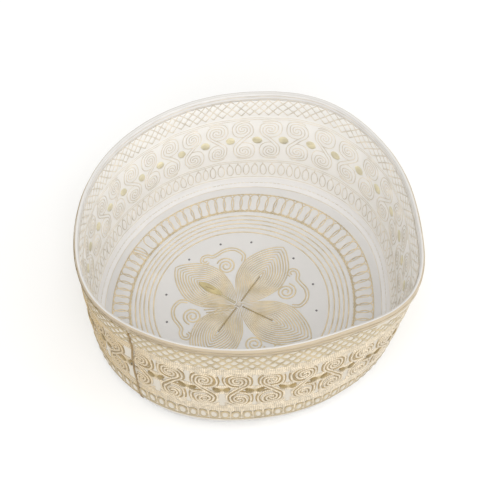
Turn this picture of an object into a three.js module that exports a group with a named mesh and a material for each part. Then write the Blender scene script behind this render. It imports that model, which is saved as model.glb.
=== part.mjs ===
// A kufi: a stiff, embroidered cotton cap with a flat round crown and an upright wall.
// It lies upside down, as it rests by itself: the crown is underneath and the opening faces up.
// Millimetres, +Z up. The back of the cap is +Y and its right-hand side is +X.

import * as THREE from "three";

// Sizes of the cap as it was cut and sewn, before wear pushed it out of round.
const RIM_RADIUS = 92; // to the middle of the cloth, for a head 57 cm round
const CROWN_RADIUS = 86;
const RIM_HEIGHT = 80; // top of the rim above the surface that the cap rests on
const SEAM_LIFT = 4; // how far the crown's sewn edge curls up from that surface
const CROWN_CLOTH = 2;
const WALL_CLOTH = 2;
const HEM_CLOTH = 3; // the hem is folded double
const HEM_HEIGHT = 6.5;
const SEWING_GAP = 0.3; // between one piece and the next
const WALL_SWELL = 3; // the wall bellies out this far just above the crown seam
const SWELL_REACH = 0.06; // over this share of the wall's height
const FLAT_SHARE = 0.57; // the middle of the crown that lies flat, as a share of its radius
const STEPS_ROUND = 80;

// How wear has pushed the cap out of round: one row every 30 degrees, counter-clockwise from
// the right-hand side. Each column is in millimetres from the sewn size, outwards or upwards.
const DENTS = [
  { rimOut: 0, rimUp: -3.5, seamOut: -3.5, seamUp: -1 }, // right
  { rimOut: 1, rimUp: 0, seamOut: 0.5, seamUp: 1 },
  { rimOut: 2.5, rimUp: 4, seamOut: 1.5, seamUp: 1 },
  { rimOut: 1, rimUp: 1.5, seamOut: 1.5, seamUp: -0.5 }, // back
  { rimOut: 0, rimUp: 0, seamOut: 1.5, seamUp: -1.5 },
  { rimOut: -0.5, rimUp: -1, seamOut: 1, seamUp: -2 },
  { rimOut: -1, rimUp: -2, seamOut: 2, seamUp: -2.5 }, // left
  { rimOut: 1, rimUp: -3, seamOut: 4, seamUp: -1.5 },
  { rimOut: -3, rimUp: 3, seamOut: 2.5, seamUp: 1 },
  { rimOut: -5, rimUp: 6.5, seamOut: -1.5, seamUp: 4 }, // front
  { rimOut: -3, rimUp: 6, seamOut: -2.5, seamUp: 2.5 },
  { rimOut: 5, rimUp: -2.5, seamOut: -2, seamUp: -0.5 },
];

// A column of the table at any angle, on a smooth curve through its rows.
function dentAt(column, angle) {
  const count = DENTS.length;
  const turn = ((angle / (2 * Math.PI)) % 1 + 1) % 1;
  const row = Math.floor(turn * count) % count;
  const along = turn * count - Math.floor(turn * count);
  const [before, here, next, after] = [-1, 0, 1, 2].map(
    (step) => DENTS[(row + step + count) % count][column]
  );
  const slopeHere = (next - before) / 2;
  const slopeNext = (after - here) / 2;
  const square = along * along;
  const cube = square * along;
  return (
    here * (2 * cube - 3 * square + 1) +
    slopeHere * (cube - 2 * square + along) +
    next * (3 * square - 2 * cube) +
    slopeNext * (cube - square)
  );
}

// The sewn edge where the crown meets the wall, and the rim, as radius and height at an angle.
function seamAt(angle) {
  return {
    radius: CROWN_RADIUS + dentAt("seamOut", angle),
    height: SEAM_LIFT + dentAt("seamUp", angle),
  };
}

function rimAt(angle) {
  return {
    radius: RIM_RADIUS + dentAt("rimOut", angle),
    height: RIM_HEIGHT + dentAt("rimUp", angle),
  };
}

// A ring of cloth, turned round the axis and then bent to the worn cap's shape. A profile point
// says how far it lies outwards from the middle of the cloth, its share of the wall's height,
// and how many millimetres above that it is.
function ringOfCloth(profile) {
  const points = [...profile, profile[0]];
  const geometry = new THREE.LatheGeometry(
    points.map((point) => new THREE.Vector2(RIM_RADIUS + point.out, point.share)),
    STEPS_ROUND
  );
  const position = geometry.getAttribute("position");
  for (let index = 0; index < position.count; index += 1) {
    const { out, share, up } = points[index % points.length];
    const angle = (2 * Math.PI * Math.floor(index / points.length)) / STEPS_ROUND;
    const seam = seamAt(angle);
    const rim = rimAt(angle);
    const foot = seam.height + CROWN_CLOTH + SEWING_GAP;
    const swell = WALL_SWELL * (1 - Math.exp(-share / SWELL_REACH)) * (1 - share);
    const radius = seam.radius + (rim.radius - seam.radius) * share + swell + out;
    const height = foot + (rim.height - foot) * share + up;
    position.setXYZ(index, radius * Math.cos(angle), radius * Math.sin(angle), height);
  }
  return geometry;
}

// A disc of cloth that lies flat in the middle and curls up to its sewn edge. A profile point
// says its share of the crown's radius and its height in the cloth.
function discOfCloth(profile) {
  const geometry = new THREE.LatheGeometry(
    profile.map((point) => new THREE.Vector2(point.share, point.level)),
    STEPS_ROUND
  );
  const position = geometry.getAttribute("position");
  for (let index = 0; index < position.count; index += 1) {
    const { share, level } = profile[index % profile.length];
    const angle = (2 * Math.PI * Math.floor(index / profile.length)) / STEPS_ROUND;
    const seam = seamAt(angle);
    const edge = seam.radius + WALL_CLOTH / 2;
    const radius = share * (CROWN_RADIUS + (edge - CROWN_RADIUS) * share * share);
    const curl = Math.max(0, share - FLAT_SHARE) / (1 - FLAT_SHARE);
    const height = level + seam.height * curl * curl;
    position.setXYZ(index, radius * Math.cos(angle), radius * Math.sin(angle), height);
  }
  return geometry;
}

function crownPanel() {
  const shares = [FLAT_SHARE, 0.7, 0.8, 0.9, 1];
  const under = [0, ...shares].map((share) => ({ share, level: 0 }));
  const inside = shares.reverse().map((share) => ({ share, level: CROWN_CLOTH }));
  return discOfCloth([...under, ...inside, { share: 0, level: CROWN_CLOTH }]);
}

// The wall stops short of the rim by the hem's height.
function sideWall() {
  const half = WALL_CLOTH / 2;
  const rows = [0, 0.03, 0.08, 0.2, 0.4, 0.6, 0.8].map((share) => ({ share, up: 0 }));
  rows.push({ share: 1, up: -HEM_HEIGHT - SEWING_GAP });
  const outside = rows.map((row) => ({ out: half, ...row }));
  const inside = rows.reverse().map((row) => ({ out: -half, ...row }));
  return ringOfCloth([...outside, ...inside]);
}

// The hem's top is one soft fold, a half circle in section.
function rimHem() {
  const half = HEM_CLOTH / 2;
  const foldSteps = 4;
  const fold = [];
  for (let step = 0; step <= foldSteps; step += 1) {
    const turn = (Math.PI * step) / foldSteps;
    fold.push({ out: half * Math.cos(turn), share: 1, up: half * (Math.sin(turn) - 1) });
  }
  return ringOfCloth([
    { out: half, share: 1, up: -HEM_HEIGHT },
    ...fold,
    { out: -half, share: 1, up: -HEM_HEIGHT },
  ]);
}

function cloth(name, geometry, color) {
  const material = new THREE.MeshStandardMaterial({ color, roughness: 0.9, metalness: 0 });
  material.name = name;
  const mesh = new THREE.Mesh(geometry, material);
  mesh.name = name;
  return mesh;
}

const cap = new THREE.Group();
cap.add(
  cloth("crown_panel", crownPanel(), 0xe9e6df),
  cloth("side_wall", sideWall(), 0xe4dac6),
  cloth("rim_hem", rimHem(), 0xece6d9)
);

// The origin is on the resting surface, under the middle of the cap.
const box = new THREE.Box3().setFromObject(cap);
const middle = box.getCenter(new THREE.Vector3());
cap.position.set(-middle.x, -middle.y, 0);
cap.updateMatrixWorld(true);

export default cap;
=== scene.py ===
"""A kufi: a stiff white cotton cap, embroidered in cream and gold on both faces of the cloth.

It lies upside down on its crown. The cloth is built first, as a quilted relief, and every
thread of the embroidery is then laid on that relief. Metres, +Z up, the cap's front at -Y.
"""

import math

import bpy
import numpy as np
from bpy.props import FloatProperty, FloatVectorProperty, IntProperty, PointerProperty
from bpy.types import Operator, Panel, PropertyGroup
from mathutils import Matrix, Vector


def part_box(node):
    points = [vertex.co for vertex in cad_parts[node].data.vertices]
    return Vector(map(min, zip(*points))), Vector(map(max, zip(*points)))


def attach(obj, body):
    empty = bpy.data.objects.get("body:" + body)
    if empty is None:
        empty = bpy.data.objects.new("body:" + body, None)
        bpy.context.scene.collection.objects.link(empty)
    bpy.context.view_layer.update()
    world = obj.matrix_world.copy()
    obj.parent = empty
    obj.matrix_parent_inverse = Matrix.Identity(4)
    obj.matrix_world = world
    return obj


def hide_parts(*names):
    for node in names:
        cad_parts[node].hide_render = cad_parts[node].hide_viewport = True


bl_info = {
    "name": "Kufi Cap",
    "version": (1, 0, 0),
    "blender": (4, 5, 0),
    "location": "View3D > Sidebar > Kufi",
    "description": "Builds an embroidered kufi cap and the stage that it lies on",
    "category": "Object",
}

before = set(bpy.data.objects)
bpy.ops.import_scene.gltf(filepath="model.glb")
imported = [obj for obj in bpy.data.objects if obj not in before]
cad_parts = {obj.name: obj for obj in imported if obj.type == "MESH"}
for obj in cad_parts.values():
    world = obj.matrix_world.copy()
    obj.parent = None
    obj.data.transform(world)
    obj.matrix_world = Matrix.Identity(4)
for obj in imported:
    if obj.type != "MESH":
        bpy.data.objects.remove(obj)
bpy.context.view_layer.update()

MM = 0.001
TURN = 2 * math.pi
INSIDE = -1
OUTSIDE = 1

# The cap as it was cut and sewn, in millimetres: the same sizes as the solids have.
CROWN_CLOTH = 2.0
WALL_CLOTH = 2.0
SEWING_GAP = 0.3
WALL_SWELL = 3.0
SWELL_REACH = 0.06
FLAT_SHARE = 0.57
WALL_SPAN = 76.0  # from the crown seam up to the rim, along the cloth

# Where the cloth's plain faces lie, in millimetres, so that quilting and cords have room.
WALL_FACE = 0.4 * WALL_CLOTH  # from the middle of the wall's cloth
CROWN_INNER_FACE = CROWN_CLOTH - 0.45  # above the surface that the cap rests on
CROWN_OUTER_FACE = 1.0
LINING_FOOT = -2.2  # where the lining meets the crown's cloth
FOOT_ROLL = 3.2  # how far the lining rolls inwards onto the crown
ROLL_REACH = 1.5  # how far up the wall that roll fades
FOOT_BAND = 5.3  # up to where the lining's plain foot, darkened as painted shade, reaches

# How wear has pushed the cap out of round: one row every 30 degrees, counter-clockwise from
# the right-hand side. Each column is in millimetres from the sewn size, outwards or upwards.
DENT_COLUMNS = ("rim_out", "rim_up", "seam_out", "seam_up")
DENTS = np.array([
    (0, -3.5, -3.5, -1),  # right
    (1, 0, 0.5, 1),
    (2.5, 4, 1.5, 1),
    (1, 1.5, 1.5, -0.5),  # back
    (0, 0, 1.5, -1.5),
    (-0.5, -1, 1, -2),
    (-1, -2, 2, -2.5),  # left
    (1, -3, 4, -1.5),
    (-3, 3, 2.5, 1),
    (-5, 6.5, -1.5, 4),  # front
    (-3, 6, -2.5, 2.5),
    (5, -2.5, -2, -0.5),
])

# Where the embroidery lies on the wall, in millimetres.
SIDE_SEAM_ANGLE = math.radians(230.2)
SEAM_MARGIN = 0.7  # from the side seam to where strokes are cut off
FIRST_COLUMN = 4.4  # from the side seam to the middle of the first column of scrolls
WAIST_HEIGHT = 37.4  # where the two scrolls of a column meet
KNOT_HEIGHT = WAIST_HEIGHT - 0.3  # of the knots and bars between the columns
SCROLL_RISE = 9.05  # from the waist to the middle of each scroll
SCROLL_RADIUS = 6.9
SCROLL_SQUARENESS = 0.08  # how far the corners of a scroll stand out
SCROLL_HEART = 0.6  # where a strand ends, from the middle of its scroll
STRAND_PITCH = 1.9  # from one strand of a scroll to the next
LATTICE_BAND = (58.1, 70.2)
LATTICE_ROWS = 4  # the heights at which the lattice's threads cross, counting one edge
LOOP_BAND = (6.9, 15.7)
UPPER_LINES = (57.0, 55.6, 54.2)
LOWER_LINES = (20.4, 19.0, 17.6)
HEM_LINES = (73.6, 71.3)
FOOT_LINE = 5.2  # on the lining, under the loops
EDGE_LINE = -1.0  # on the lining, where it rolls onto the crown
CROWN_SEAM_STITCHES = 190

# Where the embroidery lies on the crown, in millimetres from the middle of its pattern.
CROWN_SHIFT = (-5.7, -5.5)  # the pattern isn't quite in the middle of the cap
LADDER_BAND = (68.6, 79.8)
LADDER_START = math.radians(1.0)
LADDER_DRIFT = 0.057  # how much wider and narrower the cells grow
LADDER_WIDEST = math.radians(20)  # where they are widest
OPEN_CELL = 34  # the cell of the ladder that was left open where its ends meet
RING_RADII = (53.6, 56.7, 59.7, 62.4, 65.2)
PETAL_LENGTH = 49.0
PETAL_BREADTH = 14.6
PETAL_ANGLE = math.radians(57.5)
LEAF_ANGLE = PETAL_ANGLE + TURN / 4
CONTOUR_RETREAT = 1.3  # how much farther from the flower's middle each next contour starts
LEAF_MIDDLE = 21.3
LEAF_SIZE = (8.0, 2.6)  # half the length and half the width
EYELET_RING = 46.3
EYELET_RADIUS = 0.38
EYELET_ANGLES = tuple(math.radians(angle) for angle in (-8, 16.5, 45))
VINE_SPIRAL = (-8.6, 28.5)
VINE_PATH = np.array([
    (2.0, 31.8), (2.2, 36.4), (-1.2, 39.8), (-5.6, 41.0), (-10.6, 39.8), (-14.6, 36.9),
    (-17.6, 35.2), (-20.8, 35.6), (-23.8, 34.2), (-24.2, 31.4), (-22.0, 30.0), (-20.3, 31.4),
])
FOLD_LINES = np.array([
    ((-2.6, -0.8), (-23.0, 0.8)), ((-2.6, -1.3), (-22.0, -1.5)), ((-2.8, -2.2), (-21.5, -3.7)),
    ((-6.0, -3.8), (-20.0, -5.8)), ((-9.5, -6.2), (-18.0, -8.0)),
])

# A thread's section: across in widths and up in heights, from its left edge over the top.
SECTION_ACROSS = np.array([-0.5, -0.30, 0.30, 0.5, 0.0])
SECTION_UP = np.array([0.05, 0.86, 0.86, 0.05, -0.5])

# The weaves, as their pitch and depth in millimetres.
COTTON_WEAVE = (0.55, 0.06)
TAPE_WEAVE = (0.7, 0.1)
WAVE_PERIOD = 0.314  # of a wave texture whose scale is one
CREASE_COLOUR = (0.08, 0.05, 0.02)  # of the shade between a thread's plies
LEFT_SHADE_SPAN = (-0.035, -0.085)  # where the painted shade on the left begins and where it is fullest, in metres from the middle

# Each soft light's width, its place and the height that it is aimed at, in metres.
LIGHTS = {
    "front": (1.2, (0, -1.5, 0.85), 0.05),
    "top": (1.0, (0, -0.7, 1.4), 0.02),
    "side": (1.2, (1.4, -0.2, 0.9), 0.05),
}
SKY_COLOUR = (1.0, 0.995, 0.985)
FLOOR_WIDTH = 8.0

# Where the crown's middle stands in the picture, which is 500 pixels each way.
PICTURE_SIZE = 500.0
CROWN_MIDDLE_IN_PICTURE = (248.2, 296.7)


def length_setting(name, description, default, low, high):
    """A length in metres that a user can change."""
    return FloatProperty(name=name, description=description, default=default, min=low, max=high,
                         subtype="DISTANCE", unit="LENGTH")


def number_setting(name, description, default, low, high):
    """A plain number that a user can change."""
    return FloatProperty(name=name, description=description, default=default, min=low, max=high)


def count_setting(name, description, default, low, high):
    """A whole number that a user can change."""
    return IntProperty(name=name, description=description, default=default, min=low, max=high)


def angle_setting(name, description, degrees, low, high):
    """An angle that a user can change."""
    return FloatProperty(name=name, description=description, default=math.radians(degrees),
                         min=low, max=high, subtype="ANGLE")


def colour_setting(name, description, default):
    """A colour that a user can change."""
    return FloatVectorProperty(name=name, description=description, default=default, min=0, max=1,
                               subtype="COLOR")


class CapShape(PropertyGroup):
    """The cap's own sizes."""

    rim_radius: length_setting(
        "Rim radius", "To the middle of the cloth, for a head 57 cm round", 0.092, 0.07, 0.12)
    crown_radius: length_setting(
        "Crown radius", "Of the round crown, to its seam", 0.086, 0.06, 0.11)
    rim_height: length_setting(
        "Rim height", "Above the surface that the cap rests on", 0.080, 0.04, 0.12)
    seam_lift: length_setting(
        "Seam lift", "How far the crown's edge curls up from that surface", 0.004, 0.0, 0.02)
    hem_height: length_setting(
        "Hem height", "Of the folded hem round the opening", 0.0065, 0.003, 0.015)
    hem_cloth: length_setting(
        "Hem thickness", "Of the folded hem, pressed flat", 0.0019, 0.001, 0.004)
    quilt_height: length_setting(
        "Quilting height", "How far the cloth puffs up between its stitches", 0.00045, 0.0, 0.001)


class CapEmbroidery(PropertyGroup):
    """How many motifs the embroidery repeats, and how thick its threads are."""

    columns: count_setting("Columns", "Columns of scrolls round the wall", 34, 8, 60)
    loops: count_setting("Loops", "Loops in the row next to the crown", 102, 20, 160)
    diamonds: count_setting("Diamonds", "Diamonds in each row of the lattice", 102, 30, 240)
    ladder_bars: count_setting("Ladder bars", "Bars of the ladder band on the crown", 86, 20, 140)
    contours: count_setting("Petal contours", "Lines of stitching in each petal", 11, 2, 14)
    cord_width: length_setting(
        "Cord width", "Of the raised cords on the outside", 0.00125, 0.0002, 0.002)
    # These threads are partly painted shade of the grooves between the cords.
    groove_width: length_setting(
        "Groove thread width", "Of the darker threads between the cords", 0.00055, 0.0001, 0.001)
    lining_width: length_setting(
        "Inside thread width", "Of the threads that show inside", 0.00055, 0.0001, 0.001)


class CapColours(PropertyGroup):
    """The colours of the cloth and the threads. A material has the name of its colour here."""

    lining_cotton: colour_setting(
        "Lining", "White cotton on the inside of the wall", (0.865, 0.85, 0.825))
    # Painted shade: a darker, cooler copy of the lining for the inside of the hem and the lining's
    # foot.
    plain_cotton: colour_setting(
        "Plain lining", "Cotton without stitches, at the hem and the foot", (0.81, 0.80, 0.795))
    # Painted shade: the top of the hem's fold is darkened to grey, for the shade along the rim's edge.
    hem_cotton: colour_setting(
        "Hem fold", "Greyish cotton along the top of the hem", (0.635, 0.62, 0.595))
    # Painted shade: the outside cloth is darker and warmer than the white cloth, for the shade in the
    # gaps between the raised cords.
    wall_cotton: colour_setting(
        "Wall cloth", "Off-white cotton on the outside of the wall", (0.55, 0.505, 0.43))
    crown_cotton: colour_setting(
        "Crown cloth", "Greyish white cotton of the crown", (0.705, 0.695, 0.685))
    hem_tape: colour_setting(
        "Hem tape", "Peach tape along the outside of the hem", (0.475, 0.395, 0.285))
    inside_thread: colour_setting(
        "Inside thread", "Pale beige thread inside the wall", (0.74, 0.68, 0.58))
    crown_thread: colour_setting(
        "Crown thread", "Beige thread of the crown's flower and borders", (0.69, 0.58, 0.385))
    ring_thread: colour_setting(
        "Ring thread", "Pale gold thread of the crown's rings and ladder", (0.72, 0.61, 0.43))
    outside_cord: colour_setting(
        "Outside cord", "Cream cords outside", (0.66, 0.57, 0.43))
    # Partly painted shade: a darker thread between the cords, darkened further for the shadows in
    # those grooves.
    groove_thread: colour_setting(
        "Groove thread", "Brown thread between the cords", (0.345, 0.24, 0.095))
    tan_thread: colour_setting(
        "Tan thread", "Tan thread of the loops outside", (0.42, 0.335, 0.20))
    # Partly painted shade: the lattice's thread is darkened to tan in part for the brownish shade
    # along its raised diagonals.
    lattice_thread: colour_setting(
        "Lattice thread", "Light tan thread of the lattice outside", (0.45, 0.365, 0.225))
    olive_thread: colour_setting(
        "Olive thread", "Soft olive gold of the knots inside", (0.77, 0.71, 0.51))
    leaf_thread: colour_setting(
        "Leaf thread", "Olive thread of the leaf on the crown", (0.60, 0.51, 0.28))
    honey_thread: colour_setting(
        "Honey thread", "Light gold of the midribs and the bars between knots", (0.44, 0.34, 0.18))
    gold_thread: colour_setting(
        "Gold thread", "Dull gold thread of the knots outside", (0.31, 0.22, 0.085))
    # Painted shade: the outside threads turn to darker, more golden colours like this one in flecks
    # towards the cap's left-hand side, where less light falls.
    left_shade: colour_setting(
        "Gilt", "Golden cast of the outside cords on the left", (0.465, 0.32, 0.115))
    seam_thread: colour_setting(
        "Seam thread", "Brown thread of the side seam", (0.29, 0.19, 0.07))
    # Painted shade: the eyelets are dark grey rings without holes, standing in for the shade inside
    # their holes.
    eyelet_thread: colour_setting(
        "Eyelet thread", "Dark grey thread of the crown's eyelets", (0.19, 0.19, 0.195))


class CapStage(PropertyGroup):
    """The camera, the lights and the floor."""

    camera_tilt: angle_setting(
        "Camera tilt", "How far the camera looks down", 53.1, 0.0, math.pi / 2)
    camera_roll: angle_setting("Camera roll", "How far the camera leans", 0.7, -0.5, 0.5)
    camera_distance: length_setting(
        "Camera distance", "From the middle of the crown", 0.544, 0.2, 5.0)
    focal_length: number_setting(
        "Focal length", "Millimetres, on a 36 mm sensor", 64.8, 20, 200)
    floor: colour_setting("Floor", "Pale floor", (0.93, 0.93, 0.925))
    front_power: number_setting(
        "Front light", "Watts of the large low light in front", 9.0, 0, 500)
    top_power: number_setting(
        "Top light", "Watts of the large light above the camera", 6.0, 0, 500)
    side_power: number_setting(
        "Side light", "Watts of the large light on the right", 5.0, 0, 500)
    sky: number_setting("Sky", "Strength of the even white light all round", 0.83, 0, 5)


def shape():
    return bpy.context.scene.cap_shape


def embroidery():
    return bpy.context.scene.cap_embroidery


def colours():
    return bpy.context.scene.cap_colours


def glide(start, end, leaving, arriving, share):
    """A smooth way from start to end, with the slopes that it leaves and arrives with."""
    square, cube = share**2, share**3
    return (start * (2 * cube - 3 * square + 1) + leaving * (cube - 2 * square + share)
            + end * (3 * square - 2 * cube) + arriving * (cube - square))


def dent_at(column, angle):
    """A column of the dent table at any angles, on a smooth curve through its rows."""
    values = DENTS[:, DENT_COLUMNS.index(column)]
    count = len(values)
    turns = (np.asarray(angle, dtype=float) / TURN) % 1.0 * count
    row = np.floor(turns).astype(int)
    before, here, after, beyond = (values[(row + step) % count] for step in (-1, 0, 1, 2))
    return glide(here, after, (after - before) / 2, (beyond - here) / 2, turns - row)


def seam_edge(angle):
    """Radius and height of the sewn edge of the crown, in millimetres."""
    radius = shape().crown_radius / MM + dent_at("seam_out", angle)
    return radius, shape().seam_lift / MM + dent_at("seam_up", angle)


def rim_edge(angle):
    """Radius and height of the rim, in millimetres."""
    radius = shape().rim_radius / MM + dent_at("rim_out", angle)
    return radius, shape().rim_height / MM + dent_at("rim_up", angle)


def middle_of_cap():
    """How far the solids were moved sideways, so that the origin is under the cap's middle."""
    angle = np.linspace(0, TURN, 721)
    radius = rim_edge(angle)[0]
    low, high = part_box("rim_hem")
    middle_x = (np.max(radius * np.cos(angle)) + np.min(radius * np.cos(angle))) / 2
    middle_y = (np.max(radius * np.sin(angle)) + np.min(radius * np.sin(angle))) / 2
    return np.array([(low[0] + high[0]) / 2 - middle_x * MM,
                     (low[1] + high[1]) / 2 - middle_y * MM, 0.0])


def wall_length():
    """The wall's length round the cap, in millimetres."""
    return TURN * shape().rim_radius / MM


def column_pitch():
    return wall_length() / embroidery().columns


def bump(value, low, high):
    """A smooth hump between two limits, with its top half-way, and nothing outside them."""
    share = np.clip((value - low) / (high - low), 0.0, 1.0)
    return np.sin(math.pi * share) ** 2


def dome(across, up, half_width, half_height):
    """A low round dome over an ellipse."""
    return np.clip(1 - (across / half_width) ** 2 - (up / half_height) ** 2, 0.0, 1.0) ** 0.7


def repeat_offset(x, first, pitch):
    """How far each x is from the nearest of a row of equal repeats."""
    return (x - first + pitch / 2) % pitch - pitch / 2


def wall_relief(x, y):
    """How far the wall's cloth puffs up between its stitches, and how far wear has moved it
    outwards, in millimetres."""
    across = repeat_offset(x, FIRST_COLUMN, column_pitch())
    reach = SCROLL_RADIUS + 0.6
    scrolls = sum(dome(across, y - WAIST_HEIGHT - side * SCROLL_RISE, reach, reach)
                  for side in (-1, 1))
    low, high = LOOP_BAND
    loop = wall_length() / embroidery().loops
    loops = dome(repeat_offset(x, loop / 2, loop), y - (low + high) / 2, loop * 0.34,
                 (high - low) / 2)
    low, high = LATTICE_BAND
    diamond = wall_length() / embroidery().diamonds
    inside_lattice = np.clip(np.minimum(y - low, high - y) / 0.8, 0, 1)
    rows = (y - low) / (high - low) * LATTICE_ROWS
    lattice = np.abs(np.sin(math.pi * (x / diamond + rows / 2))
                     * np.sin(math.pi * (x / diamond - rows / 2))) * inside_lattice
    puff = shape().quilt_height / MM * (scrolls + 1.2 * loops + 1.1 * lattice)
    around = x / wall_length() * TURN
    wear = (0.35 * np.sin(5 * around + 0.8) * bump(y, 0, WALL_SPAN)
            + 0.22 * np.sin(13 * around + y / 19.0)
            + 0.16 * np.sin(23 * around - y / 11.0 + 2.1))
    return puff, wear


def place(points):
    """From millimetres about the cap's axis to metres in the frame."""
    return points * MM + middle_of_cap()


def wander(x, y):
    """How far the stitching strays from an even pattern, in millimetres: a slow drift round the
    cap, where the cloth is stretched, and the small waver of work guided by hand."""
    around = x / wall_length() * TURN
    aside = 4.5 * (1 - np.cos(around)) + 2.3 * np.sin(2 * around)
    upward = 1.7 + 0.7 * np.cos(around) - 1.5 * np.sin(2 * around) + 1.4 * np.cos(2 * around)
    waver = 0.25 * np.sin(23 * around + y / 6 + 2) + 0.2 * np.sin(8 * around)
    return (aside + 0.30 * np.sin(19 * around + y / 7) + 0.20 * np.sin(31 * around - y / 4.5 + 1),
            (upward + waver) * np.sqrt(bump(y, -4, 80)))


def on_wall(x, y, side, lift=0.0):
    """Points and outward normals on a face of the wall. x runs round the cap from the side
    seam, y up from the crown seam, and lift out of the cloth, all in millimetres."""
    x, y, lift = np.broadcast_arrays(np.asarray(x, float), np.asarray(y, float), lift)
    aside, upward = wander(x, y)
    angle = SIDE_SEAM_ANGLE + (x + aside) / (shape().rim_radius / MM)
    share = (y + upward) / WALL_SPAN
    seam_radius, seam_height = seam_edge(angle)
    rim_radius, rim_height = rim_edge(angle)
    foot = seam_height + CROWN_CLOTH + SEWING_GAP
    swell = WALL_SWELL * (1 - np.exp(-np.maximum(share, 0) / SWELL_REACH)) * (1 - share)
    puff, wear = wall_relief(x, y)
    out = side * (WALL_FACE + puff + lift) + wear * bump(y, -4, WALL_SPAN + 4)
    if side == INSIDE:
        out = out - FOOT_ROLL * np.exp(-np.maximum(y - LINING_FOOT, 0) / ROLL_REACH)
    radius = seam_radius + (rim_radius - seam_radius) * share + swell + out
    height = foot + (rim_height - foot) * share
    normal = side * np.stack([np.cos(angle), np.sin(angle), np.zeros_like(angle)], -1)
    points = np.stack([radius * np.cos(angle), radius * np.sin(angle), height], -1)
    return place(points), normal


def crown_relief(x, y):
    """How far the crown's cloth puffs up between its stitches, and how far wear has moved it
    upwards, in millimetres."""
    radius = np.hypot(x, y)
    angle = np.arctan2(y, x)
    low, high = LADDER_BAND
    middle = (low + high) / 2
    bar = TURN / embroidery().ladder_bars
    cell = angle - LADDER_START - LADDER_DRIFT * np.sin(angle - LADDER_WIDEST)
    ladder = dome(repeat_offset(cell, bar / 2, bar) * middle, radius - middle,
                  bar * middle * 0.44, (high - low) * 0.42)
    edges = (*RING_RADII, low)
    rings = sum(bump(radius, inner, outer) for inner, outer in zip(edges[:-1], edges[1:]))
    petal_turn = repeat_offset(angle, PETAL_ANGLE, TURN / 4)
    petals = dome(petal_turn * 0.8 * radius, radius - 0.5 * PETAL_LENGTH, 13.0, PETAL_LENGTH * 0.5)
    wear = 0.25 * np.sin(radius / 13.0 + 2 * angle) * np.cos(3 * angle) * bump(radius, 10, 90)
    return shape().quilt_height / MM * (1.2 * ladder + 0.7 * rings + 1.5 * petals), wear


def on_crown(x, y, side, lift=0.0):
    """Points and normals on a face of the crown, from the middle of its pattern."""
    x, y, lift = np.broadcast_arrays(np.asarray(x, float), np.asarray(y, float), lift)
    crown_radius = shape().crown_radius / MM
    share = np.hypot(x, y) / crown_radius
    angle = np.arctan2(y, x)
    seam_radius, seam_height = seam_edge(angle)
    radius = share * (crown_radius + (seam_radius - crown_radius) * share**2)
    radius = radius + side * share * WALL_CLOTH / 2
    curl = np.maximum(0, share - FLAT_SHARE) / (1 - FLAT_SHARE)
    if side == INSIDE:
        puff, wear = crown_relief(x, y)
        level = CROWN_INNER_FACE + puff + wear * np.minimum(1, share * 1.5) + lift
    else:
        level = CROWN_OUTER_FACE - lift
    shift = np.maximum(0, 1 - share**2)
    points = np.stack([radius * np.cos(angle) + CROWN_SHIFT[0] * shift,
                       radius * np.sin(angle) + CROWN_SHIFT[1] * shift,
                       level + seam_height * curl**2], -1)
    normal = np.zeros_like(points)
    normal[..., 2] = -side
    return place(points), normal


class Finish:
    """A material in the making. Whatever is the same all over sits on the shader itself."""

    def __init__(self, name, colour, roughness, sheen=0.0, specular=0.3):
        self.material = bpy.data.materials.new(name)
        self.material.use_nodes = True
        self.shader = self.material.node_tree.nodes["Principled BSDF"]
        self.feed(self.shader, {
            "Base Color": (*colour, 1), "Roughness": roughness, "Sheen Weight": sheen,
            "Sheen Roughness": 0.45, "Specular IOR Level": specular})

    def feed(self, node, inputs):
        """Gives a node its inputs, each of them a value or an output of another node."""
        for socket, value in inputs.items():
            if isinstance(value, bpy.types.NodeSocket):
                self.material.node_tree.links.new(value, node.inputs[socket])
            else:
                node.inputs[socket].default_value = value

    def add(self, kind, inputs, **settings):
        """Adds a node and returns its outputs."""
        node = self.material.node_tree.nodes.new("ShaderNode" + kind)
        for setting, value in settings.items():
            setattr(node, setting, value)
        self.feed(node, inputs)
        return node.outputs

    def math(self, operation, *values):
        """A sum on one or two values."""
        return self.add("Math", dict(enumerate(values)), operation=operation)["Value"]

    def span(self, value, low, high, top=1.0):
        """A value between low and high, brought to between zero and top."""
        return self.add("MapRange", {"Value": value, "From Min": low, "From Max": high,
                                     "To Max": top})["Result"]

    def mix(self, factor, first, second):
        """Two colours blended by a factor."""
        ends = [end if isinstance(end, bpy.types.NodeSocket) else (*end, 1) for end in (first, second)]
        return self.add("Mix", {"Factor": factor, "A": ends[0], "B": ends[1]},
                        data_type="RGBA")["Result"]

    def noise(self, scale, detail, where):
        return self.add("TexNoise", {"Scale": scale, "Detail": detail, "Vector": where})["Fac"]

    def raise_surface(self, height, strength, depth):
        """Raises the surface by a height, at most by a depth in millimetres."""
        normal = self.add("Bump", {"Strength": strength, "Distance": depth * MM, "Height": height})
        self.feed(self.shader, {"Normal": normal["Normal"]})


def shade(colour, amount):
    """A colour made darker (below one) or lighter (above one)."""
    return tuple(min(1.0, max(0.0, channel * amount)) for channel in colour)


def cloth_material(name, colour, weave_pitch, weave_depth):
    """Plain-woven cotton: a fine weave in the bump and faint uneven bleaching."""
    finish = Finish(name, colour, 0.88, sheen=0.25)
    on_cloth = finish.add("UVMap", {}, uv_map="cloth")["UV"]
    yarns = {"Scale": WAVE_PERIOD / weave_pitch, "Distortion": 0.6, "Detail": 1.0,
             "Vector": on_cloth}
    warp, weft = (finish.add("TexWave", yarns, bands_direction=way)["Fac"] for way in ("X", "Y"))
    finish.raise_surface(finish.math("MAXIMUM", warp, weft), 0.35, weave_depth)
    bleach = finish.noise(38.0, 3.0, finish.add("TexCoord", {})["Object"])
    colour = finish.mix(bleach, shade(colour, 0.955), shade(colour, 1.02))
    finish.feed(finish.shader, {"Base Color": colour})
    return finish.material


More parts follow.
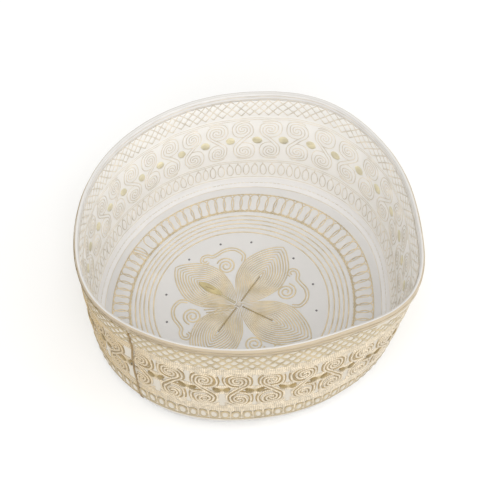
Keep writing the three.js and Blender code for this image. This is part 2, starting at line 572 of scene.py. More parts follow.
def thread_material(name, colour, roughness, ply=0.75, variety=0.16, left_shade=None, dark=0.05,
                    grain=120.0):
    """Twisted thread: slanting plies along its length, a soft shine and uneven dye. Left shade is
    a second, darker colour of painted shade, which the thread takes on in flecks towards the
    cap's left-hand side. Dark is how much painted shade darkens the thread between its plies,
    and grain how fine its flecks are."""
    finish = Finish(name, colour, roughness, sheen=0.2, specular=0.45)
    on_thread = finish.add("SeparateXYZ", {
        "Vector": finish.add("UVMap", {}, uv_map="cloth")["UV"]})
    slant = finish.math("ADD", finish.math("DIVIDE", on_thread["X"], ply), on_thread["Y"])
    plies = finish.math("SINE", finish.math("MULTIPLY", slant, TURN))
    finish.raise_surface(plies, 0.6, 0.08)
    where = finish.add("TexCoord", {})["Object"]
    flecks = finish.span(finish.noise(grain, 2.0, where), 0.3, 0.7)
    colour = finish.mix(flecks, shade(colour, 1 - variety), shade(colour, 1 + variety))
    if left_shade:
        # Painted shade, in flecks, growing towards the cap's left-hand side.
        leftward = finish.span(finish.add("SeparateXYZ", {"Vector": where})["X"], *LEFT_SHADE_SPAN)
        left_shade_share = finish.math("MULTIPLY", leftward, finish.math("POWER", flecks, 0.5))
        colour = finish.mix(left_shade_share, colour, left_shade)
    # Painted shade between the plies: the thread darkens towards CREASE_COLOUR where the plies dip.
    crease = finish.span(plies, 0.4, -0.9, dark)
    finish.feed(finish.shader, {"Base Color": finish.mix(crease, colour, CREASE_COLOUR)})
    return finish.material


def cap_material(kind):
    """A kind of cloth or thread, made the first time that a piece asks for it."""
    made = bpy.data.materials.get(kind)
    if made:
        return made
    palette = colours()
    colour = getattr(palette, kind)
    if kind == "hem_tape":
        return cloth_material(kind, colour, *TAPE_WEAVE)
    if kind.endswith("cotton"):
        return cloth_material(kind, colour, *COTTON_WEAVE)
    threads = {
        "inside_thread": {"roughness": 0.65},
        "crown_thread": {"roughness": 0.65},
        "ring_thread": {"roughness": 0.65},
        # The outside cords get the most painted shade between their plies.
        "outside_cord": {"roughness": 0.6, "ply": 1.1, "variety": 0.2, "left_shade": palette.left_shade,
                         "dark": 0.3, "grain": 420.0},
        "groove_thread": {"roughness": 0.7, "left_shade": shade(palette.seam_thread, 0.75)},
        "tan_thread": {"roughness": 0.6, "left_shade": palette.gold_thread},
        "lattice_thread": {"roughness": 0.6, "left_shade": palette.gold_thread},
        "olive_thread": {"roughness": 0.5},
        "leaf_thread": {"roughness": 0.5},
        "honey_thread": {"roughness": 0.5},
        "gold_thread": {"roughness": 0.4},
        "seam_thread": {"roughness": 0.7},
        "eyelet_thread": {"roughness": 0.6},
    }
    return thread_material(kind, colour, **threads[kind])


def mesh_object(name, points, uvs, faces, kinds):
    """A mesh object that rides on the cap, with a UV pair for each point. faces is a list of
    arrays, one for each size of face, and kinds are the kinds of cloth or thread it is of."""
    mesh = bpy.data.meshes.new(name)
    vertices = np.asarray(points, dtype=np.float32).reshape(-1, 3)
    corners = np.concatenate([face.reshape(-1) for face in faces]).astype(np.int32)
    totals = np.concatenate([np.full(len(face), face.shape[1], np.int32) for face in faces])
    starts = (np.cumsum(totals) - totals).astype(np.int32)
    mesh.vertices.add(len(vertices))
    mesh.vertices.foreach_set("co", vertices.reshape(-1))
    mesh.loops.add(len(corners))
    mesh.loops.foreach_set("vertex_index", corners)
    mesh.polygons.add(len(totals))
    mesh.polygons.foreach_set("loop_start", starts)
    mesh.polygons.foreach_set("loop_total", totals)
    mesh.polygons.foreach_set("use_smooth", np.full(len(totals), True))
    layer = mesh.uv_layers.new(name="cloth")
    pairs = np.asarray(uvs, dtype=np.float32).reshape(-1, 2)[corners]
    layer.data.foreach_set("uv", pairs.reshape(-1))
    mesh.update(calc_edges=True)
    if mesh.validate():
        raise RuntimeError(f"{name} has faces that aren't sound")
    piece = bpy.data.objects.new(name, mesh)
    bpy.context.scene.collection.objects.link(piece)
    for kind in kinds:
        mesh.materials.append(cap_material(kind))
    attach(piece, "root")
    return piece


def ring_faces(rows, steps, joined=False):
    """Quads between rows of points, each of which runs right round. When they are joined, the
    last row also meets the first."""
    row = np.arange(rows if joined else rows - 1)[:, None] * steps
    above = (row + steps) % (rows * steps)
    step = np.arange(steps)
    after = (step + 1) % steps
    quads = np.stack([row + step, row + after, above + after, above + step], -1)
    return quads.reshape(-1, 4)


def band_object(name, points, uvs, kinds, kind_of_row):
    """A band of cloth, closed round the cap and round its own section. Its points and UVs are
    in rows, and kind_of_row says which of its kinds of cloth each row is."""
    rows, steps = points.shape[:2]
    piece = mesh_object(name, points, uvs, [ring_faces(rows, steps, joined=True)], kinds)
    indices = np.repeat([kinds.index(kind) for kind in kind_of_row], steps).astype(np.int32)
    piece.data.polygons.foreach_set("material_index", indices)
    return piece


class Thread:
    """Strokes of one kind of thread on one face of the cloth, gathered into one mesh."""

    def __init__(self, surface, side):
        self.surface = surface
        self.side = side
        self.strokes = {}

    def stroke(self, x, y, width, height, lift=0.0, closed=False):
        """Adds one stroke through pattern points. All of its sizes are in millimetres."""
        rows = np.stack(np.broadcast_arrays(x, y, lift, width, height)).astype(float)
        self.strokes.setdefault((rows.shape[1], closed), []).append(rows)

    def sweep(self, strokes, closed):
        """The section's points along strokes that have as many points, and their UVs."""
        x, y, lift, width, height = np.stack(strokes, axis=1)
        points, normals = self.surface(x, y, self.side, lift)
        if closed:
            ahead = np.roll(points, -1, axis=1) - np.roll(points, 1, axis=1)
        else:
            ahead = np.gradient(points, axis=1)
        ahead /= np.linalg.norm(ahead, axis=-1, keepdims=True) + 1e-12
        across = np.cross(ahead, normals)
        across /= np.linalg.norm(across, axis=-1, keepdims=True) + 1e-12
        up = np.cross(across, ahead)
        wide = (width * MM)[..., None, None] * SECTION_ACROSS[:, None]
        tall = (height * MM)[..., None, None] * SECTION_UP[:, None]
        section = points[:, :, None] + across[:, :, None] * wide + up[:, :, None] * tall
        gaps = np.linalg.norm(np.diff(points, axis=1), axis=-1) / MM
        length = np.concatenate([np.zeros((len(strokes), 1)), np.cumsum(gaps, axis=1)], axis=1)
        turn = np.arange(len(SECTION_ACROSS)) / len(SECTION_ACROSS)
        return section, np.stack(np.broadcast_arrays(length[..., None], turn), -1)

    def build(self, name, kind):
        """Lays every stroke on the cloth and makes the mesh."""
        sides = len(SECTION_ACROSS)
        side = np.arange(sides)
        next_side = (side + 1) % sides
        points, uvs, quads, ends = [], [], [], []
        count = 0
        for (steps, closed), strokes in self.strokes.items():
            section, pairs = self.sweep(strokes, closed)
            points.append(section.reshape(-1, 3))
            uvs.append(pairs.reshape(-1, 2))
            first = count + np.arange(len(strokes))[:, None, None] * steps * sides
            step = np.arange(steps if closed else steps - 1)[:, None]
            here, after = first + step * sides, first + (step + 1) % steps * sides
            corners = [here + side, here + next_side, after + next_side, after + side]
            quads.append(np.stack(corners, -1).reshape(-1, 4))
            if not closed:
                ends.append((first + side[::-1]).reshape(-1, sides))
                ends.append((first + (steps - 1) * sides + side).reshape(-1, sides))
            count += len(strokes) * steps * sides
        faces = [np.concatenate(group) for group in (quads, ends) if group]
        mesh_object(name, np.concatenate(points), np.concatenate(uvs), faces, [kind])


def embroider(surface, side, pieces):
    """Lays and builds pieces of embroidery. Each is given as its name, its material, its slot,
    which is not used, what lays its strokes, and the sizes that this needs."""
    for name, kind, slot, lay, *sizes in pieces:
        thread = Thread(surface, side)
        lay(thread, *sizes)
        thread.build(name, kind)


def wall_stroke(thread, x, y, width, height, lift=0.0):
    """Lays a stroke on the wall, cut off at the side seam."""
    x, y, width, lift = np.broadcast_arrays(np.asarray(x, float), y, width, lift)
    kept = (x > SEAM_MARGIN) & (x < wall_length() - SEAM_MARGIN)
    edges = np.flatnonzero(np.diff(np.concatenate([[0], kept.astype(int), [0]])))
    for start, end in zip(edges[::2], edges[1::2]):
        if end - start > 1:
            part = slice(start, end)
            thread.stroke(x[part], y[part], width[part], height, lift[part])


def lay_lines(thread, heights, width, height, lift=0.0):
    """Lines of thread right round the wall."""
    x = np.linspace(SEAM_MARGIN + 0.1, wall_length() - SEAM_MARGIN - 0.1, 230)
    for y in heights:
        thread.stroke(x, y, width, height, lift)


def smooth_curve(path, steps=5):
    """A smooth curve through the points of a path."""
    padded = np.concatenate([2 * path[:1] - path[1:2], path, 2 * path[-1:] - path[-2:-1]])
    before, here, after, beyond = (
        padded[start:len(padded) - 3 + start, None] for start in range(4))
    share = np.linspace(0, 1, steps, endpoint=False)[None, :, None]
    curve = glide(here, after, (after - before) / 2, (beyond - here) / 2, share)
    return np.concatenate([curve.reshape(-1, 2), path[-1:]])


def beside(curve, distance):
    """The line at a distance to the left of a curve."""
    ahead = np.gradient(curve, axis=0)
    ahead /= np.linalg.norm(ahead, axis=1, keepdims=True)
    return curve + distance * np.stack([-ahead[:, 1], ahead[:, 0]], -1)


def squared(angle):
    """How much farther a scroll reaches at an angle, for its slightly square outline."""
    return 1 + SCROLL_SQUARENESS * np.sin(2 * angle) ** 2


def scroll_strand(upper_radius, lower_radius):
    """One strand of a column: it winds out of the upper scroll, crosses the waist and winds
    into the lower one. Points are in millimetres about the column's waist."""
    leave = math.radians(225)
    rate = 2 * STRAND_PITCH / TURN

    def winding(radius, sign):
        turn = np.arange(0, (radius - SCROLL_HEART) / rate, math.radians(21))
        angle = leave - turn
        reach = sign * (radius - rate * turn) * squared(angle)
        return np.stack([reach * np.cos(angle), sign * SCROLL_RISE + reach * np.sin(angle)], -1)

    upper = winding(upper_radius, 1)[::-1]
    lower = winding(lower_radius, -1)
    slope = np.array([1, -1]) * 7.8
    bridge = glide(upper[-1], lower[0], slope, slope, np.linspace(0, 1, 6)[1:-1, None])
    return np.concatenate([upper, bridge, lower])


def open_side_arc(radius, sign):
    """The arc that closes a scroll on the side that its strands don't pass."""
    angle = np.radians(np.linspace(-98, 128, 14))
    reach = radius * squared(angle)
    return np.stack([sign * reach * np.cos(angle),
                     sign * (SCROLL_RISE + reach * np.sin(angle))], -1)


def column_middles(offset=0.0):
    """The middle of each column of scrolls, or the places that are a share of a column on."""
    return [FIRST_COLUMN + column_pitch() * (column + offset)
            for column in range(embroidery().columns)]


def lay_scrolls(thread, width, height, radii, arcs, taper=0.0):
    """Lays the scrolls of every column. radii pairs the upper and the lower radius of each
    strand, arcs gives the radii of the arcs round the scrolls, and taper is the share of its
    width that a strand loses on its way in."""
    lines = [scroll_strand(upper, lower) for upper, lower in radii]
    lines += [open_side_arc(radius, sign) for radius in arcs for sign in (-1, 1)]
    for column, middle in enumerate(column_middles()):
        turn = 1 if column % 2 == 0 else -1
        for line in lines:
            reach = np.hypot(line[:, 0], np.abs(line[:, 1]) - SCROLL_RISE) / SCROLL_RADIUS
            wide = width * (1 - taper * (1 - np.minimum(1, reach)))
            wall_stroke(thread, middle + turn * line[:, 0], WAIST_HEIGHT + line[:, 1], wide, height)


def lay_corner_arcs(thread, width, height):
    """Short arcs that fill the corners between the scrolls and the bands of lines."""
    for middle in column_middles():
        for sign in (-1, 1):
            for side in (-1, 1):
                for number, spread in enumerate((24, 13, 5)):
                    angle = np.radians(54 + np.linspace(-spread, spread, 6))
                    reach = SCROLL_RADIUS + 1.15 * (number + 1)
                    wall_stroke(thread, middle + side * reach * np.cos(angle),
                                WAIST_HEIGHT + sign * (SCROLL_RISE + reach * np.sin(angle)),
                                width, height)


def lay_bars(thread, width, height, numbers):
    """Some of the seven flaring bars that cross each gap between two columns of scrolls."""
    for middle in column_middles(0.5):
        for number in numbers:
            x = np.linspace(-3.6, 3.6, 7)
            y = number * (1.05 + 0.03 * x**2)
            wall_stroke(thread, middle + x, KNOT_HEIGHT + y, width, height)


def lay_lattice(thread, width, height):
    """Two sets of slanting threads that pass over and under each other."""
    low, high = LATTICE_BAND
    pitch = wall_length() / embroidery().diamonds
    rows = np.linspace(0, LATTICE_ROWS, 4 * LATTICE_ROWS + 1)
    y = low + (high - low) * rows / LATTICE_ROWS
    for slant in (-1, 1):
        for number in range(-2, embroidery().diamonds + 3):
            x = pitch * number + slant * pitch * rows / 2
            weave = 0.12 * slant * np.cos(math.pi * (rows + number)) + 0.05
            wall_stroke(thread, x, y, width, height, weave)


def lay_loops(thread, width, height, size=1.0):
    """A row of upright loops, each a little narrower at the top."""
    pitch = wall_length() / embroidery().loops
    middle = sum(LOOP_BAND) / 2
    half = (LOOP_BAND[1] - LOOP_BAND[0]) / 2 * size
    angle = np.linspace(0, TURN, 17)[:-1]
    for number in range(embroidery().loops):
        x = pitch * (number + 0.5 + 0.36 * np.cos(angle) * (1 - 0.12 * np.sin(angle)))
        thread.stroke(x, middle + half * np.sin(angle), width, height, closed=True)


def lay_posts(thread, width, height, offset, low, high):
    """A short upright stitch for each loop, a share of a loop on from where it begins."""
    pitch = wall_length() / embroidery().loops
    y = np.linspace(low, high, 5)
    for number in range(embroidery().loops):
        thread.stroke(np.full(5, pitch * (number + offset)), y, width, height)


def lay_knots(thread, pads, half_size, stitches, rise):
    """Satin-stitched pads at each gap between two columns of scrolls. pads gives how far each
    pad is from the gap's middle and how far its upright stitches lean."""
    for gap in column_middles(0.5):
        for aside, lean in pads:
            for stitch in np.linspace(-1, 1, stitches):
                half = half_size[1] * math.sqrt(1 - 0.8 * stitch**2)
                x = gap + aside + stitch * half_size[0] + lean * np.linspace(-1, 1, 5)
                y = KNOT_HEIGHT + np.linspace(-half, half, 5)
                lift = rise * (1 - 0.6 * stitch**2) * np.array([0.2, 0.9, 1, 0.9, 0.2])
                wall_stroke(thread, x, y, 2.6 * half_size[0] / stitches, 0.32, lift)


def turned(points, angle):
    """Pattern points turned about the flower's middle, as separate x and y."""
    x, y = points[:, 0], points[:, 1]
    return x * math.cos(angle) - y * math.sin(angle), x * math.sin(angle) + y * math.cos(angle)


def circle(radius, steps=200):
    angle = np.linspace(0, TURN, steps, endpoint=False)
    return radius * np.cos(angle), radius * np.sin(angle)


def petal_contour(number, count):
    """One of a petal's nested lines, out along one side of the petal and back on the other."""
    shrink = number / count
    share = np.linspace(0.02, 1.0, 27)
    half = PETAL_BREADTH * (1 - shrink) * np.abs(np.sin(math.pi * share**1.09)) ** 0.75
    start = 0.6 + CONTOUR_RETREAT * number
    reach = start + (PETAL_LENGTH * (1 - 0.49 * shrink) - start) * share
    waver = 0.13 * np.sin(reach / 2.1 + 0.5 * number)
    return np.stack([np.concatenate([reach, reach[-2::-1]]),
                     np.concatenate([half + waver, -half[-2::-1] + waver[-2::-1]])], -1)


def lay_petals(thread, width, height):
    """Four petals of nested lines, each line thinner towards the flower's middle."""
    count = embroidery().contours
    for number in range(count):
        contour = petal_contour(number, count)
        taper = np.clip(0.3 + contour[:, 0] / 22, 0, 1)
        for quarter in range(4):
            angle = PETAL_ANGLE + quarter * TURN / 4
            thread.stroke(*turned(contour, angle), width * taper, height, closed=True)


def lay_vines(thread, width, height):
    """The scrolls between the petals: a small spiral under an arch that ends in a hook."""
    turn = np.linspace(0, math.radians(860), 48)
    reach = 0.9 + 5.2 * turn / turn[-1]
    spiral = np.stack([VINE_SPIRAL[0] + reach * np.cos(turn + 0.4),
                       VINE_SPIRAL[1] + reach * np.sin(turn + 0.4)], -1)
    arch = smooth_curve(VINE_PATH)
    for quarter in range(4):
        angle = quarter * TURN / 4
        thread.stroke(*turned(spiral, angle), width * 1.6, height)
        for distance in (-0.85, 0.85):
            thread.stroke(*turned(beside(arch, distance), angle), width * 1.45, height)


def lay_flower(thread, width, height):
    """Petals, vines and the fold beside the left-hand petal."""
    lay_petals(thread, width * 1.35, height)
    lay_vines(thread, width, height)
    for start, end in FOLD_LINES:
        thread.stroke(*np.linspace(start, end, 24).T, width * 1.2, height * 1.4)


def lay_rings(thread, width, height):
    for radius in RING_RADII:
        thread.stroke(*circle(radius), width, height, closed=True)


def lay_midribs(thread, width, height):
    """The twisted midribs of three petals, and a short one in the heart of the fourth's leaf."""
    x = np.linspace(2.6, 23.4, 43)
    for quarter in (0, 2, 3):
        angle = PETAL_ANGLE + quarter * TURN / 4
        for start in (0.0, math.pi):
            wave = x * TURN / 3.2 + start
            line = np.stack([x, 0.28 * np.sin(wave)], -1)
            thread.stroke(*turned(line, angle), width, height, 0.14 * (1 + np.cos(wave)))
    line = np.stack([np.linspace(LEAF_MIDDLE - 3.0, LEAF_MIDDLE + 3.0, 8),
                     np.linspace(-0.5, 0.5, 8)], -1)
    thread.stroke(*turned(line, LEAF_ANGLE), width * 2, height, 0.35)


def lay_leaf(thread, width, height):
    """The satin-stitched leaf of the fourth petal, on its thinner stalk."""
    for stitch in np.linspace(-1, 1, 19):
        half = LEAF_SIZE[1] * math.sqrt(max(0.04, 1 - stitch**2))
        y = np.linspace(-half, half, 5)
        line = np.stack([LEAF_MIDDLE + stitch * LEAF_SIZE[0] + 0.4 * y, y], -1)
        thread.stroke(*turned(line, LEAF_ANGLE), width, height, 0.25 * np.array([0, 1, 1.2, 1, 0]))
    for offset in (-0.5, 0.5):
        line = np.stack([np.linspace(2.4, LEAF_MIDDLE - LEAF_SIZE[0], 12), np.full(12, offset)], -1)
        thread.stroke(*turned(line, LEAF_ANGLE), 0.6, 0.3)


def lay_heart(thread, width, height):
    """The round stitch in the flower's middle."""
    thread.stroke(*circle(0.6, 12), width, height, 0.45, closed=True)


def lay_twisted_border(thread, radius, width, height, swing, twists):
    """Two strands twisted round each other, laid in a circle."""
    angle = np.linspace(0, TURN, twists * 6, endpoint=False)
    for start in (0.0, math.pi):
        wave = angle * twists / 2 + start
        reach = radius + swing * np.sin(wave)
        thread.stroke(reach * np.cos(angle), reach * np.sin(angle), width, height,
                      height * 0.35 * (1 + np.cos(wave)), closed=True)


def lay_borders(thread):
    """The ladder's borders: a thick one inside it and a thin one round it."""
    lay_twisted_border(thread, LADDER_BAND[0], 0.7, 0.36, swing=0.45, twists=160)
    lay_twisted_border(thread, LADDER_BAND[1], 0.4, 0.25, swing=0.2, twists=190)


def ladder_angle(cell):
    """Where a cell of the ladder stands, since its cells aren't all as wide."""
    angle = LADDER_START + cell * TURN / embroidery().ladder_bars
    return angle + LADDER_DRIFT * np.sin(angle - LADDER_WIDEST)


def lay_ladder(thread, width, height):
    """The ladder band: a ring of long rounded cells, and slanting bars where its ends meet."""
    low, high = LADDER_BAND
    turn = np.linspace(0, TURN, 24, endpoint=False)
    around = np.sign(np.cos(turn)) * np.abs(np.cos(turn)) ** 0.85
    radius = (low + high) / 2 + (high - low) * 0.49 * np.sin(turn)
    for cell in range(embroidery().ladder_bars):
        if cell != OPEN_CELL:
            angle = ladder_angle(cell + 0.5 + 0.64 * around)
            thread.stroke(radius * np.cos(angle), radius * np.sin(angle), width, height, closed=True)
    radius = np.linspace(low, high, 8)
    for start in (1.05, 1.4):
        angle = ladder_angle(OPEN_CELL + start + np.linspace(0, 0.5, 8))
        thread.stroke(radius * np.cos(angle), radius * np.sin(angle), width * 1.2, height)


def lay_eyelets(thread, width, height):
    """Small eyelets round the flower, dark rings of painted shade where their holes would be."""
    ring_x, ring_y = circle(EYELET_RADIUS, 8)
    for quarter in range(4):
        for angle in EYELET_ANGLES:
            turn = angle + quarter * TURN / 4
            thread.stroke(EYELET_RING * math.cos(turn) + ring_x,
                          EYELET_RING * math.sin(turn) + ring_y, width, height, closed=True)


class BuildCrownCloth(Operator):
    """Build the crown: a quilted disc of cotton that curls up to its seam"""

    bl_idname = "kufi.crown_cloth"
    bl_label = "Crown Cloth"

    def execute(self, context):
        steps = 420
        radius = shape().crown_radius / MM
        angle = np.linspace(0, TURN, steps, endpoint=False)
        inner_rows = np.concatenate([np.linspace(0.02, 0.60, 44, endpoint=False),
                                     np.linspace(0.60, 1.0, 56)]) * radius
        outer_rows = np.concatenate([np.linspace(1.0, 0.55, 30, endpoint=False),
                                     np.linspace(0.55, 0.02, 8)]) * radius
        points, uvs = [], []
        for reach, side in ((inner_rows, INSIDE), (outer_rows, OUTSIDE)):
            x, y = reach[:, None] * np.cos(angle), reach[:, None] * np.sin(angle)
            points.append(on_crown(x, y, side)[0].reshape(-1, 3))
            uvs.append(np.stack([x, y], -1).reshape(-1, 2))
        points += [on_crown(0.0, 0.0, side)[0].reshape(1, 3) for side in (INSIDE, OUTSIDE)]
        uvs.append(np.zeros((2, 2)))
        rows = len(inner_rows) + len(outer_rows)
        first = np.arange(steps)
        last = first + (rows - 1) * steps
        inner_middle = np.full(steps, rows * steps)
        fans = np.concatenate([
            np.stack([inner_middle, first, np.roll(first, -1)], -1),
            np.stack([inner_middle + 1, np.roll(last, -1), last], -1)])
        piece = mesh_object("crown_cloth", np.concatenate(points), np.concatenate(uvs),
                            [ring_faces(rows, steps)[:, ::-1], fans], ["crown_cotton"])
        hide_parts("crown_panel")
        return {"FINISHED"}


class BuildWallCloth(Operator):
    """Build the wall: a quilted band of cotton, upright on the crown's seam"""

    bl_idname = "kufi.wall_cloth"
    bl_label = "Wall Cloth"

    def execute(self, context):
        x = np.linspace(0, wall_length(), 560, endpoint=False)
        top = WALL_SPAN - shape().hem_height / MM - SEWING_GAP + 0.6
        up = np.concatenate([[-0.7, 0.2, 1.2, 2.6, 4.2], np.linspace(5.6, top, 58)])
        down = np.concatenate([up[:0:-1], [-0.3, -0.9, -1.5, LINING_FOOT]])
        points, uvs = [], []
        for rows, side in ((up, OUTSIDE), (down, INSIDE)):
            grid = np.meshgrid(x, rows)
            points.append(on_wall(*grid, side)[0])
            uvs.append(np.stack(grid, -1))
        # The lining's foot takes the darker copy of the lining, as painted shade.
        lining = ["plain_cotton" if y < FOOT_BAND else "lining_cotton" for y in down]
        piece = band_object("wall_cloth", np.concatenate(points), np.concatenate(uvs),
                            ["wall_cotton", "lining_cotton", "plain_cotton"],
                            ["wall_cotton"] * len(up) + lining)
        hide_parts("side_wall")
        return {"FINISHED"}


def hem_section():
    """The hem's section, as out and up in millimetres, with its soft fold on top."""
    half = shape().hem_cloth / MM / 2
    tall = shape().hem_height / MM
    outside = [(half - 0.05, -tall), (half, -tall + 0.5), (half + 0.12, -tall * 0.70),
               (half - 0.14, -tall * 0.50), (half + 0.10, -tall * 0.30)]
    fold = [(half * math.cos(turn), half * 0.9 * (math.sin(turn) - 1))
            for turn in np.linspace(0, math.pi, 9)]
    inside = [(-half - 0.04, -tall * 0.3), (-half + 0.04, -tall * 0.5),
              (-half - 0.02, -tall * 0.75), (-half + 0.12, -tall)]
    return outside + fold + inside


class BuildRimHem(Operator):
    """Build the hem: cotton with a strip of peach tape outside, folded over to the inside"""

    bl_idname = "kufi.rim_hem"
    bl_label = "Rim Hem"

    def execute(self, context):
        angle = np.linspace(0, TURN, 360, endpoint=False)
        radius, height = rim_edge(angle)
        along = angle * shape().rim_radius / MM
        ripple = 0.10 * np.sin(angle * 61) + 0.08 * np.sin(angle * 23 + 1)
        points, uvs = [], []
        for out, up in hem_section():
            reach = radius + out + ripple * (up < -1)
            level = height + up + 0.05 * np.sin(angle * 37)
            points.append(place(np.stack([reach * np.cos(angle), reach * np.sin(angle), level], -1)))
            uvs.append(np.stack([along, np.full(len(along), up + out)], -1))
        # The grey rows along the top of the fold are painted shade.
        kind_of_row = ["wall_cotton"] * 2 + ["hem_tape"] * 6 + ["hem_cotton"] * 5
        # The rest of the hem's inside is painted shade, in the darker copy of the lining.
        kind_of_row += ["plain_cotton"] * (len(points) - len(kind_of_row))
        piece = band_object("hem", np.stack(points), np.stack(uvs),
                            ["hem_tape", "wall_cotton", "hem_cotton", "plain_cotton"],
                            kind_of_row)
        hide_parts("rim_hem")
        return {"FINISHED"}


class BuildWallOutside(Operator):
    """Embroider the outside of the wall with raised cream cords and tan and gold thread"""

    bl_idname = "kufi.wall_outside"
    bl_label = "Wall Embroidery, Outside"

    def execute(self, context):
        cord = embroidery().cord_width / MM
        groove = embroidery().groove_width / MM
        outer = SCROLL_RADIUS - 0.25
        inner, between = outer - STRAND_PITCH, outer - STRAND_PITCH / 2

        def lay_cords(thread):
            lay_scrolls(thread, cord, 0.6, ((outer, inner), (inner, outer)), (outer,))
            lay_corner_arcs(thread, cord * 1.1, 0.5)
            lay_bars(thread, cord * 1.1, 0.5, (-3, -2, 2, 3))

        def lay_bands(thread):
            for band in (UPPER_LINES, LOWER_LINES):
                lay_lines(thread, (*band, band[-1] - 1.3), cord, 0.45)
            lay_posts(thread, cord, 0.4, 0.0, 6.9, 15.4)

        def lay_loop_band(thread):
            lay_loops(thread, 1.7, 0.5, size=0.84)
            # The thick tan line at 5.9 mm is painted shade along the wall's bottom edge, under the
            # loops.
            lay_lines(thread, (5.9,), 1.1, 0.4)
            lay_lines(thread, HEM_LINES, 0.4, 0.2, lift=0.55)

        embroider(on_wall, OUTSIDE, (
            # The groove threads are darker thread and painted shade of the grooves between the cords.
            ("wall_grooves_outside", "groove_thread", "outer_thread", lay_scrolls, groove * 1.5, 0.3,
             ((between, between), (between + STRAND_PITCH, between - STRAND_PITCH)),
             (between, between + STRAND_PITCH), 0.55),
            # The lattice's tan is partly painted shade along the raised diagonals.
            ("wall_lattice_outside", "lattice_thread", "outer_thread", lay_lattice, 1.6, 0.45),
            ("wall_lines_outside", "outside_cord", "outer_thread", lay_bands),
            ("wall_loops_outside", "tan_thread", "outer_thread", lay_loop_band),
            ("wall_scrolls_outside", "outside_cord", "outer_thread", lay_cords),
            ("wall_bars_outside", "honey_thread", "gold_thread", lay_bars, cord * 1.1, 0.5,
             (-1, 0, 1)),
            ("wall_knots_outside", "gold_thread", "gold_thread", lay_knots,
             ((-2.6, -0.4), (2.6, 0.4)), (1.6, 2.45), 6, 0.9)))
        return {"FINISHED"}


class BuildWallInside(Operator):
    """Embroider the inside of the wall with the pale thread that comes through the cloth"""

    bl_idname = "kufi.wall_inside"
    bl_label = "Wall Embroidery, Inside"

    def execute(self, context):
        width = embroidery().lining_width / MM
        outer, inner = SCROLL_RADIUS, SCROLL_RADIUS - STRAND_PITCH

        def lay_bands(thread):
            lay_lines(thread, (*UPPER_LINES[1:], *LOWER_LINES[1:], FOOT_LINE), width * 0.7, 0.2)
            lay_lines(thread, (EDGE_LINE,), width, 0.3)
            lay_lines(thread, HEM_LINES, width * 0.7, 0.16, lift=0.5)

        def lay_loop_band(thread):
            lay_loops(thread, width * 1.15, 0.3)
            lay_posts(thread, 0.8, 0.3, 0.5, 15.4, 16.9)

        embroider(on_wall, INSIDE, (
            ("wall_scrolls_inside", "inside_thread", "inner_thread", lay_scrolls, width, 0.26,
             ((outer, inner), (inner, outer)), (outer,)),
            ("wall_lattice_inside", "inside_thread", "inner_thread", lay_lattice, width * 1.5, 0.26),
            ("wall_lines_inside", "inside_thread", "inner_thread", lay_bands),
            ("wall_loops_inside", "inside_thread", "inner_thread", lay_loop_band),
            ("wall_knots_inside", "olive_thread", "gold_thread", lay_knots, ((0, 0.3),),
             (2.5, 2.8), 9, 0.3)))
        return {"FINISHED"}


class BuildCrownEmbroidery(Operator):
    """Embroider both faces of the crown: ladder band, rings, petals, vines and eyelets"""

    bl_idname = "kufi.crown_embroidery"
    bl_label = "Crown Embroidery"

    def execute(self, context):
        for side, face, kind, ring_kind, slot, width, height in (
                (INSIDE, "inside", "crown_thread", "ring_thread", "inner_thread", 0.6, 0.28),
                (OUTSIDE, "outside", "outside_cord", "outside_cord", "outer_thread", 0.8, 0.3)):
            embroider(on_crown, side, (
                (f"crown_flower_{face}", kind, slot, lay_flower, width, height),
                (f"crown_rings_{face}", ring_kind, slot, lay_rings, width * 1.55, height),
                (f"crown_ladder_{face}", ring_kind, slot, lay_ladder, width * 1.15, height),
                (f"crown_borders_{face}", kind, slot, lay_borders),
                (f"crown_leaf_{face}", "leaf_thread", "gold_thread", lay_leaf, 0.95, 0.35),
                (f"crown_midribs_{face}", "honey_thread", "gold_thread", lay_midribs, 0.5, 0.36),
                (f"crown_heart_{face}", "inside_thread", slot, lay_heart, 1.7, 0.5),
                (f"crown_eyelets_{face}", "eyelet_thread", "seam_thread", lay_eyelets, 0.78, 0.3)))
        return {"FINISHED"}


def lay_side_seam(thread, width, height):
    """Two rows of stitches down the side seam."""
    y = np.linspace(2.0, WALL_SPAN - shape().hem_height / MM - 0.6, 60)
    for edge in (-0.3, 0.35):
        thread.stroke(edge, y, width, height, 0.1)


def lay_crown_seam(thread, width, height):
    """Running stitches round the foot of the lining."""
    pitch = wall_length() / CROWN_SEAM_STITCHES
    for number in range(CROWN_SEAM_STITCHES):
        x = pitch * (number + np.linspace(0, 0.72, 4))
        thread.stroke(x, 1.2, width, height, np.array([-0.1, 0.1, 0.1, -0.1]))


class BuildSeams(Operator):
    """Stitch the side seam and the crown seam"""

    bl_idname = "kufi.seams"
    bl_label = "Seam Stitches"

    def execute(self, context):
        embroider(on_wall, OUTSIDE, (
            ("side_seam_stitches", "seam_thread", "seam_thread", lay_side_seam, 0.55, 0.5),))
        embroider(on_wall, INSIDE, (
            ("crown_seam_stitches", "inside_thread", "inner_thread", lay_crown_seam, 0.5, 0.2),))
        return {"FINISHED"}


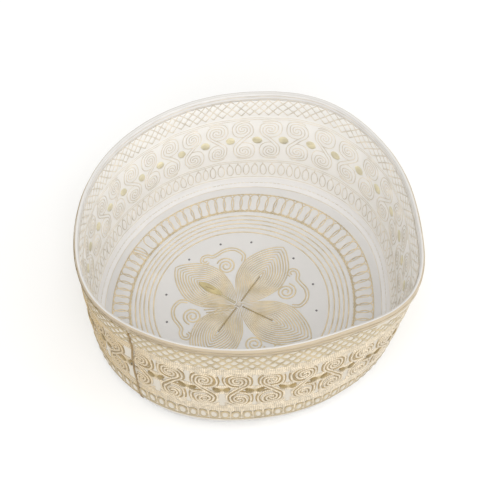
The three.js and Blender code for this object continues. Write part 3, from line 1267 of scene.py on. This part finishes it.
class BuildStage(Operator):
    """Lay the pale floor, set the soft lights and place the camera"""

    bl_idname = "kufi.stage"
    bl_label = "Stage, Lights and Camera"

    def execute(self, context):
        stage = context.scene.cap_stage
        self.lay_floor(context, stage)
        for name, (size, location, aimed_at) in LIGHTS.items():
            self.hang_light(context, f"{name}_light", size, getattr(stage, f"{name}_power"),
                            Vector(location), Vector((0, 0, aimed_at)))
        world = bpy.data.worlds.new("studio")
        context.scene.world = world
        world.use_nodes = True
        background = world.node_tree.nodes["Background"]
        background.inputs["Color"].default_value = (*SKY_COLOUR, 1)
        background.inputs["Strength"].default_value = stage.sky
        context.scene.view_settings.view_transform = "Standard"
        self.place_camera(context, stage)
        return {"FINISHED"}

    def lay_floor(self, context, stage):
        bpy.ops.mesh.primitive_plane_add(size=FLOOR_WIDTH, location=(0, 0, 0))
        floor = context.object
        floor.name = "floor"
        finish = Finish("floor_paint", stage.floor, 0.95)
        cloud = finish.add("TexNoise", {"Scale": 3.0})["Fac"]
        colour = finish.mix(cloud, shade(stage.floor, 0.995), shade(stage.floor, 1.005))
        finish.feed(finish.shader, {"Base Color": colour})
        floor.data.materials.append(finish.material)

    def hang_light(self, context, name, size, power, location, target):
        data = bpy.data.lights.new(name, "AREA")
        data.shape = "DISK"
        data.size = size
        data.energy = power
        light = bpy.data.objects.new(name, data)
        light.location = location
        light.rotation_euler = (target - location).to_track_quat("-Z", "Y").to_euler()
        context.scene.collection.objects.link(light)

    def place_camera(self, context, stage):
        data = bpy.data.cameras.new("camera")
        data.lens = stage.focal_length
        data.sensor_width = 36.0
        camera = bpy.data.objects.new("camera", data)
        context.scene.collection.objects.link(camera)
        context.scene.camera = camera
        tilt = stage.camera_tilt
        right = Vector((1, 0, 0))
        ahead = Vector((0, math.cos(tilt), -math.sin(tilt)))
        up = Vector((0, math.sin(tilt), math.cos(tilt)))
        roll = Matrix.Rotation(stage.camera_roll, 3, ahead)
        right, up = roll @ right, roll @ up
        pixels = stage.focal_length / data.sensor_width * PICTURE_SIZE
        aside, below = ((pixel - PICTURE_SIZE / 2) / pixels for pixel in CROWN_MIDDLE_IN_PICTURE)
        distance = stage.camera_distance
        crown = Vector(middle_of_cap()) + Vector((0, 0, CROWN_CLOTH * MM))
        location = crown - distance * (ahead + aside * right - below * up)
        rotation = Matrix((right, up, -ahead)).transposed().to_4x4()
        camera.matrix_world = Matrix.Translation(location) @ rotation


class KufiPanel(Panel):
    """The cap's pieces and sizes in the sidebar"""

    bl_idname = "VIEW3D_PT_kufi"
    bl_label = "Kufi Cap"
    bl_space_type = "VIEW_3D"
    bl_region_type = "UI"
    bl_category = "Kufi"

    def draw(self, context):
        layout = self.layout
        for group in GROUPS:
            box = layout.box()
            settings = getattr(context.scene, group)
            for name in settings.__annotations__:
                box.prop(settings, name)
        for operator in OPERATORS:
            layout.operator(operator.bl_idname)


GROUPS = {"cap_shape": CapShape, "cap_embroidery": CapEmbroidery, "cap_colours": CapColours,
          "cap_stage": CapStage}
OPERATORS = (BuildCrownCloth, BuildWallCloth, BuildRimHem, BuildWallOutside, BuildWallInside,
             BuildCrownEmbroidery, BuildSeams, BuildStage)


def register():
    for name, group in GROUPS.items():
        bpy.utils.register_class(group)
        setattr(bpy.types.Scene, name, PointerProperty(type=group))
    for operator in OPERATORS:
        bpy.utils.register_class(operator)
    bpy.utils.register_class(KufiPanel)


def unregister():
    bpy.utils.unregister_class(KufiPanel)
    for operator in reversed(OPERATORS):
        bpy.utils.unregister_class(operator)
    for name, group in GROUPS.items():
        delattr(bpy.types.Scene, name)
        bpy.utils.unregister_class(group)


def main():
    register()
    bpy.ops.kufi.crown_cloth()
    bpy.ops.kufi.wall_cloth()
    bpy.ops.kufi.rim_hem()
    bpy.ops.kufi.wall_outside()
    bpy.ops.kufi.wall_inside()
    bpy.ops.kufi.crown_embroidery()
    bpy.ops.kufi.seams()
    bpy.ops.kufi.stage()


if __name__ == "__main__":
    main()
